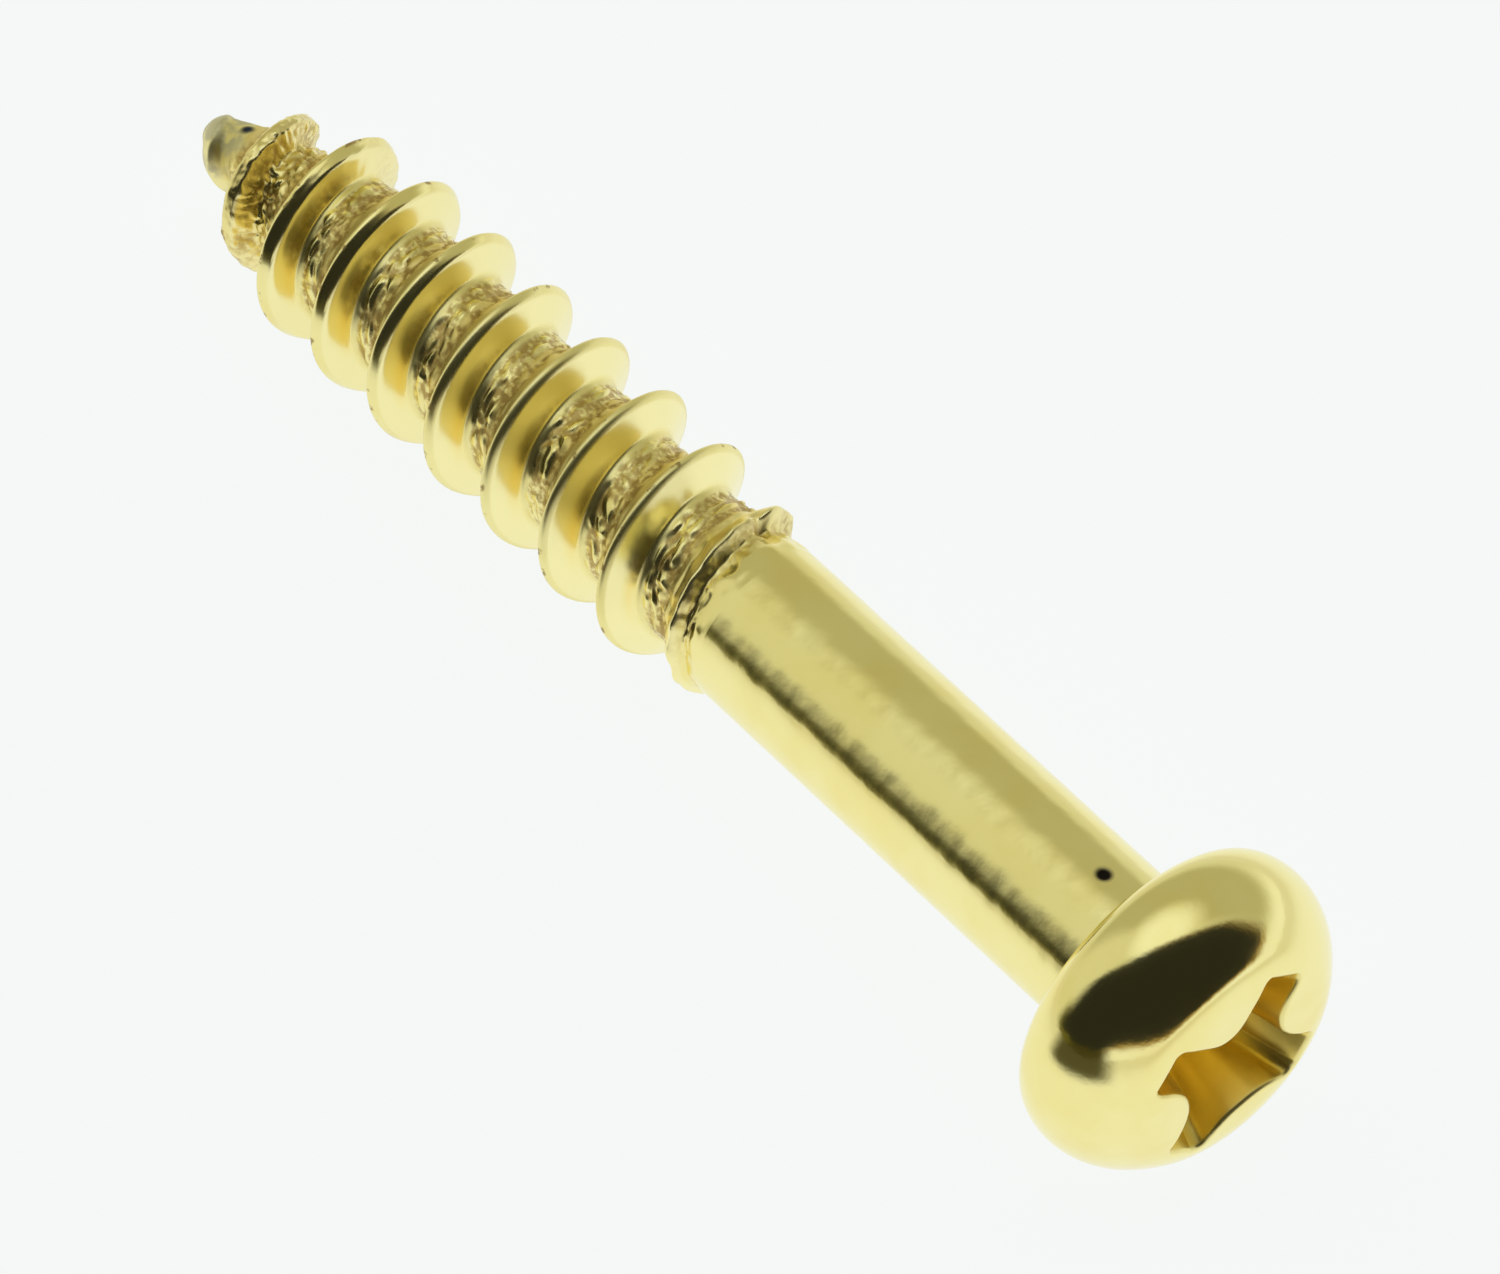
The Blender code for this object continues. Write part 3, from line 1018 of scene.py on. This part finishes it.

# %% [markdown]
# On the thread the plating is worn brown in patches along the crests. Painted shade turns the creases of the
# roots brown in patches, a painted highlight makes the smooth flanks pale, and a painted reflection of the
# gold in itself turns the torn skin, the torn groove and the tip side of each crest amber, with a painted
# orange glow at the foot of the ridges on one side. Near the tip some of it is gone down to the steel, and
# there is one dark spot. Painting this by hand would have to follow every turn, so the kept measures say
# where it goes. Next to the shank the finish turns into the shank's own.

# %% Thread and point plating
# painted reflection: amber for the gold's light bounced between the turns
BOUNCED_AMBER = (0.93, 0.73, 0.24, 1)
# painted glow: the orange painted at the foot of the ridges on one side
FOOT_GLOW_PAINTED = (1.0, 0.8, 0.26, 1)
# painted highlight: the pale colour of the smooth flanks, which mirror the white table
FLANK_PAINTED_HIGHLIGHT = (1.0, 0.92, 0.48, 1)
# painted shade: the brown painted into the creases of the crumpled roots
CREASE_SHADE_BROWN = (0.45, 0.29, 0.08, 1)
WORN_BROWN = (0.34, 0.22, 0.07, 1)
BARE_STEEL = (0.62, 0.59, 0.4, 1)
SPOT_BLUE = (0.05, 0.06, 0.09, 1)
FLANK_FOOT = (0.05, 0.2)
FLANK_TOP = (0.8, 0.9)
EDGE_ALONG = (-19.0, -12.0)
MARGIN_TOP = (0.02, 0.12)
CREASE_SHADE_NOISE = (9.0, 3.0)
CREASE_SHADE_SPREAD = (0.3, 0.6)
CREASE_SHADE_DEPTH = (-0.6, 0.0)
CREASE_SHADE_SHARE = 0.8
WORN_NOISE = (3.5, 3.0)
WORN_SPREAD = (0.58, 0.66)
WORN_HEIGHT = (0.95, 0.99)
WORN_COLOUR = 0.8
FLANK_HIGHLIGHT_SHARE = 0.8
TORN_BOUNCE_SHARE = 0.3
BEHIND_BOUNCE_SHARE = 0.6
FOOT_GLOW_SHARE = 0.9
THREAD_NOISE = (4.0, 4.0)
THREAD_GLOSS = (0.12, 0.08)
MARKED_DULLNESS = 0.2
DULLNESS = {
    "flank": 0.03, "behind": 0.26, "rough": 0.06, "edge": 0.2, "torn": 0.03, "let_go": 0.32, "margin": 0.2,
}
THREAD_LUMPS = (6.0, 2.0)
THREAD_LUMP_HEIGHT = 0.0012
ROUGH_LUMPS = (11.0, 3.0)
ROUGH_LUMP_HEIGHT = 0.0025


def thread_looks(place):
    """Colour, roughness and height of the plating on the thread, from the kept measures."""
    areas = {name: kept_measure(place, name) for name in THREAD_MEASURES}
    ridge, rough, plain = areas["ridge"], areas["rough"], areas["plain"]
    along = place.node("ShaderNodeSeparateXYZ", None, {0: place})
    above_flank = rise(ridge, *FLANK_TOP)
    areas["flank"] = rise(ridge, *FLANK_FOOT) * (1 - above_flank)
    areas["edge"] = above_flank * rise(along, *EDGE_ALONG)
    areas["margin"] = (1 - rise(ridge, *MARGIN_TOP)) * (1 - rough)
    creased = 1 - rise(areas["crease"], *CREASE_SHADE_DEPTH)
    # painted shade: the creases of the rough roots turn brown in patches, where shade falls in them
    crease_shade = creased * rise(grain(place, *CREASE_SHADE_NOISE), *CREASE_SHADE_SPREAD) * rough * CREASE_SHADE_SHARE
    worn = rise(ridge, *WORN_HEIGHT) * rise(grain(place, *WORN_NOISE), *WORN_SPREAD) * WORN_COLOUR
    # painted reflection: amber on the torn skin, in the torn groove and on the tip side of each crest, for
    # light bounced between the turns
    bounced_amber = (areas["torn"] + areas["let_go"]) * TORN_BOUNCE_SHARE + areas["behind"] * BEHIND_BOUNCE_SHARE
    # painted highlight: the smooth flanks are painted paler
    gold = blend(drifting_gold(place), FLANK_PAINTED_HIGHLIGHT, areas["flank"] * FLANK_HIGHLIGHT_SHARE)
    # painted glow: orange at the foot of the ridges on one side
    gold = blend(blend(gold, BOUNCED_AMBER, bounced_amber), FOOT_GLOW_PAINTED, areas["foot_glow"] * FOOT_GLOW_SHARE)
    colour = blend(blend(gold, CREASE_SHADE_BROWN, crease_shade), WORN_BROWN, worn)
    gloss = drifting_gloss(place, THREAD_NOISE, *THREAD_GLOSS) + (worn + crease_shade) * MARKED_DULLNESS
    for name, added in DULLNESS.items():
        gloss = gloss + areas[name] * added
    gloss = crossfade(gloss, drifting_gloss(place, GLOSS_NOISE, *SHANK_GLOSS), plain)
    peel = grain(place, *THREAD_LUMPS) * THREAD_LUMP_HEIGHT
    peel = peel + rough * grain(place, *ROUGH_LUMPS) * ROUGH_LUMP_HEIGHT
    return colour, gloss, crossfade(peel, shank_peel(place), plain)


material, place, shader = start_plating("thread_plating")
finish_plating(thread, material, shader, *thread_looks(place))
print("thread plated by", len(THREAD_MEASURES), "measures")

# %% Tip, worn
STUB_ALONG = (-21.3, -20.9)
STUB_DULLNESS = 0.22
BARE_FROM = (20.8, 21.4)
BARE_NOISE = (2.6, 3.0)
BARE_SPREAD = (0.42, 0.58)
BARE_COLOUR = 0.8
BARE_DULLNESS = 0.1
SPOT_PLACE = (-21.3, 0.04, 0.42)
SPOT_EDGE = (0.06, 0.16)
SPOT_DULLNESS = 0.2

material, place, shader = start_plating("point_plating")
colour, gloss, peel = thread_looks(place)
along = place.node("ShaderNodeSeparateXYZ", None, {0: place})
stub = 1 - rise(along, *STUB_ALONG)
bare = rise(0 - along, *BARE_FROM) * rise(grain(place, *BARE_NOISE), *BARE_SPREAD) * BARE_COLOUR
spot = around_spot(place, SPOT_PLACE, SPOT_EDGE)
colour = blend(blend(colour, BARE_STEEL, bare), SPOT_BLUE, spot)
gloss = gloss + bare * BARE_DULLNESS + stub * STUB_DULLNESS + spot * SPOT_DULLNESS
finish_plating(point, material, shader, colour, gloss, peel)
print("point plated, bare from", -BARE_FROM[0], "mm on")

# %% [markdown]
# The screw lies on a plain white table, touching it with the head's rim and the crests of the thread, so
# the table tilts a little against the screw's axis. It could be lit until it turns white, but the metal would
# then be too bright. So the table shows its own white to the camera and, dimmer further off, in the metal,
# and keeps a faint shadow of the screw in the share of it that takes light.

# %% White table
TABLE_SIZE = 6
TABLE_TOUCH = Vector((0.68, 0, -2.7)) * MM
TABLE_TILT = math.radians(2.85)
TABLE_WHITE = (0.975, 1.0, 0.99, 1)
SHOWN_WHITE = 0.9
TABLE_FAR = (0.8, 0.79, 0.7, 1)
FAR_DISTANCE = (8 * MM, 45 * MM)
TABLE_DIM = (0.055, 0.048, 0.014, 1)
DIM_FACING = (-82, 29, 9)
DIM_DISTANCE = (12 * MM, 20 * MM)


def facing(level, degrees, half_width, softness):
    """1 for level directions within an angle of a bearing from +X, fading out over the softness."""
    bearing = (math.cos(math.radians(degrees)), math.sin(math.radians(degrees)), 0)
    near = vectors("DOT_PRODUCT", level, bearing, VALUE_OUTPUT)
    outer = math.cos(math.radians(min(half_width + softness, 180)))
    inner = math.cos(math.radians(max(half_width - softness, 0)))
    return rise(near, outer, inner)


bpy.ops.object.select_all(action="DESELECT")
bpy.ops.mesh.primitive_plane_add(size=TABLE_SIZE, location=TABLE_TOUCH, rotation=(0, TABLE_TILT, 0))
table = bpy.context.object
table.name = "table"
table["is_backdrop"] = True
surface = bpy.data.materials.new("table_white")
surface.use_nodes = True
tree = surface.node_tree
tree.nodes.clear()
start = Wire(tree)
matt = start.node("ShaderNodeBsdfDiffuse", None, {"Color": TABLE_WHITE})
seen = start.node("ShaderNodeLightPath")
paths = seen.socket.node.outputs
mirrored = Wire(tree, paths["Is Glossy Ray"])
looked_at = seen + mirrored + Wire(tree, paths["Is Transmission Ray"])
place = start.node("ShaderNodeTexCoord", output=OBJECT_OUTPUT)
away = place.node("ShaderNodeVectorMath", {"operation": "LENGTH"}, {0: place}, VALUE_OUTPUT)
bearing = place.node("ShaderNodeVectorMath", {"operation": "NORMALIZE"}, {0: place})
dimmed = facing(bearing, *DIM_FACING) * rise(away, *DIM_DISTANCE) * mirrored
sheet = blend(TABLE_WHITE, TABLE_FAR, rise(away, *FAR_DISTANCE) * mirrored)
sheet = blend(sheet, TABLE_DIM, dimmed)
shown = start.node("ShaderNodeEmission", None, {"Color": sheet, "Strength": 1.0})
mixed = start.node("ShaderNodeMixShader", None, {0: looked_at * SHOWN_WHITE, 1: matt, 2: shown})
output = tree.nodes.new("ShaderNodeOutputMaterial")
tree.links.new(mixed.socket, output.inputs["Surface"])
table.data.materials.append(surface)
print("table tilted by", round(math.degrees(TABLE_TILT), 2), "degrees")

# %% [markdown]
# Bright metal is a picture of the room around it. The studio is white overhead, has a grey wall on the far
# side, and stays dark around the camera, which is what draws the dark patch on the dome and the dark line
# along the shank. It could be built from lamps and cards, but a room painted into the world by direction
# needs nothing that could come into the picture. Where the camera sees the world itself, it is white.

# %% Directions in the studio
world = bpy.data.worlds.new("studio")
bpy.context.scene.world = world
world.use_nodes = True
tree = world.node_tree
tree.nodes.clear()
start = Wire(tree)
direction = start.node("ShaderNodeTexCoord")
parts = direction.node("ShaderNodeSeparateXYZ", None, {0: direction})
up = Wire(tree, parts.socket.node.outputs["Z"])
level = vectors("MULTIPLY", direction, (1, 1, 0), VECTOR_OUTPUT)
level = level.node("ShaderNodeVectorMath", {"operation": "NORMALIZE"}, {0: level})


def between(low, high, softness):
    """1 for directions between two heights above the horizon, in degrees."""
    edges = []
    for height in (low, high):
        edges.append((math.sin(math.radians(height - softness)), math.sin(math.radians(height + softness))))
    return rise(up, *edges[0]) * (1 - rise(up, *edges[1]))


print("directions ready")

# %% Walls and ceiling
ROOM_GREY = (0.71, 0.71, 0.58, 1)
GREY_WALL = (0.475, 0.46, 0.32, 1)
WALL_FACING = (126, 69, 12)
WALL_HEIGHTS = (13, 60, 7)
BACKDROP = (0.92, 0.945, 0.94, 1)
BACKDROP_FACING = (18, 86, 16)
BACKDROP_TOP = (0.05, 0.25)
CEILING = (0.93, 0.97, 0.97, 1)
CEILING_EDGE = (math.sin(math.radians(60)), math.sin(math.radians(80)))
DIM_CORNER = (0.14, 0.125, 0.03, 1)
CORNER_FACING = (-92, 32, 8)
CORNER_HEIGHTS = (-9, 16, 5)
TABLE_END_FACING = (-78, 20, 8)
TABLE_END_HEIGHTS = (-15, 18, 4)

room = blend(ROOM_GREY, GREY_WALL, facing(level, *WALL_FACING) * between(*WALL_HEIGHTS))
room = blend(room, BACKDROP, facing(level, *BACKDROP_FACING) * (1 - rise(up, *BACKDROP_TOP)))
room = blend(room, CEILING, rise(up, *CEILING_EDGE))
room = blend(room, DIM_CORNER, facing(level, *CORNER_FACING) * between(*CORNER_HEIGHTS))
room = blend(room, TABLE_DIM, facing(level, *TABLE_END_FACING) * between(*TABLE_END_HEIGHTS))
print("walls and ceiling painted")

# %% Dark side and light
DARK_SIDE = (0.024, 0.024, 0.018, 1)
DARK_FACING = (-32, 88, 8)
DARK_FROM = (0.06, 0.11)
AMBER_EDGE = (0.36, 0.235, 0.04, 1)
AMBER_FACING = (0, 56, 8)
AMBER_FROM = (0.01, 0.06)
TENT_BACK = (0.7495, -0.4525, -0.4832)
TENT_OPENING = (-0.35, -0.25)
BOW_MIDDLE = (0.996, -0.087, 0)
BOW_FACING = (20, 75, 15)
BOW = 0.28

open_side = rise(vectors("DOT_PRODUCT", direction, TENT_BACK, VALUE_OUTPUT), *TENT_OPENING)
ahead = vectors("DOT_PRODUCT", level, BOW_MIDDLE, VALUE_OUTPUT)
bowed = up - (1 - ahead) * facing(level, *BOW_FACING) * BOW
room = blend(room, AMBER_EDGE, facing(level, *AMBER_FACING) * open_side * rise(bowed, *AMBER_FROM))
room = blend(room, DARK_SIDE, facing(level, *DARK_FACING) * open_side * rise(bowed, *DARK_FROM))
seen = start.node("ShaderNodeLightPath")
shown_room = blend(room, BACKDROP, seen)
light = start.node("ShaderNodeBackground", None, {"Color": shown_room, "Strength": 1.0})
output = tree.nodes.new("ShaderNodeOutputWorld")
tree.links.new(light.socket, output.inputs["Surface"])
print("studio painted by direction")

# %% [markdown]
# The colours are to show as they are written, so the view transform is the plain one. Last, the box of the
# solid model and the box of the dressed screw are kept side by side, and the frame is finished.

# %% View and sizes
bpy.context.scene.view_settings.view_transform = "Standard"
visual_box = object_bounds()
sizes = {
    "cad": [list(corner) for corner in cad_box],
    "visual": [list(corner) for corner in visual_box],
}
for name, (low, high) in sizes.items():
    print(name, "box in mm:", [round((b - a) / MM, 3) for a, b in zip(low, high)])
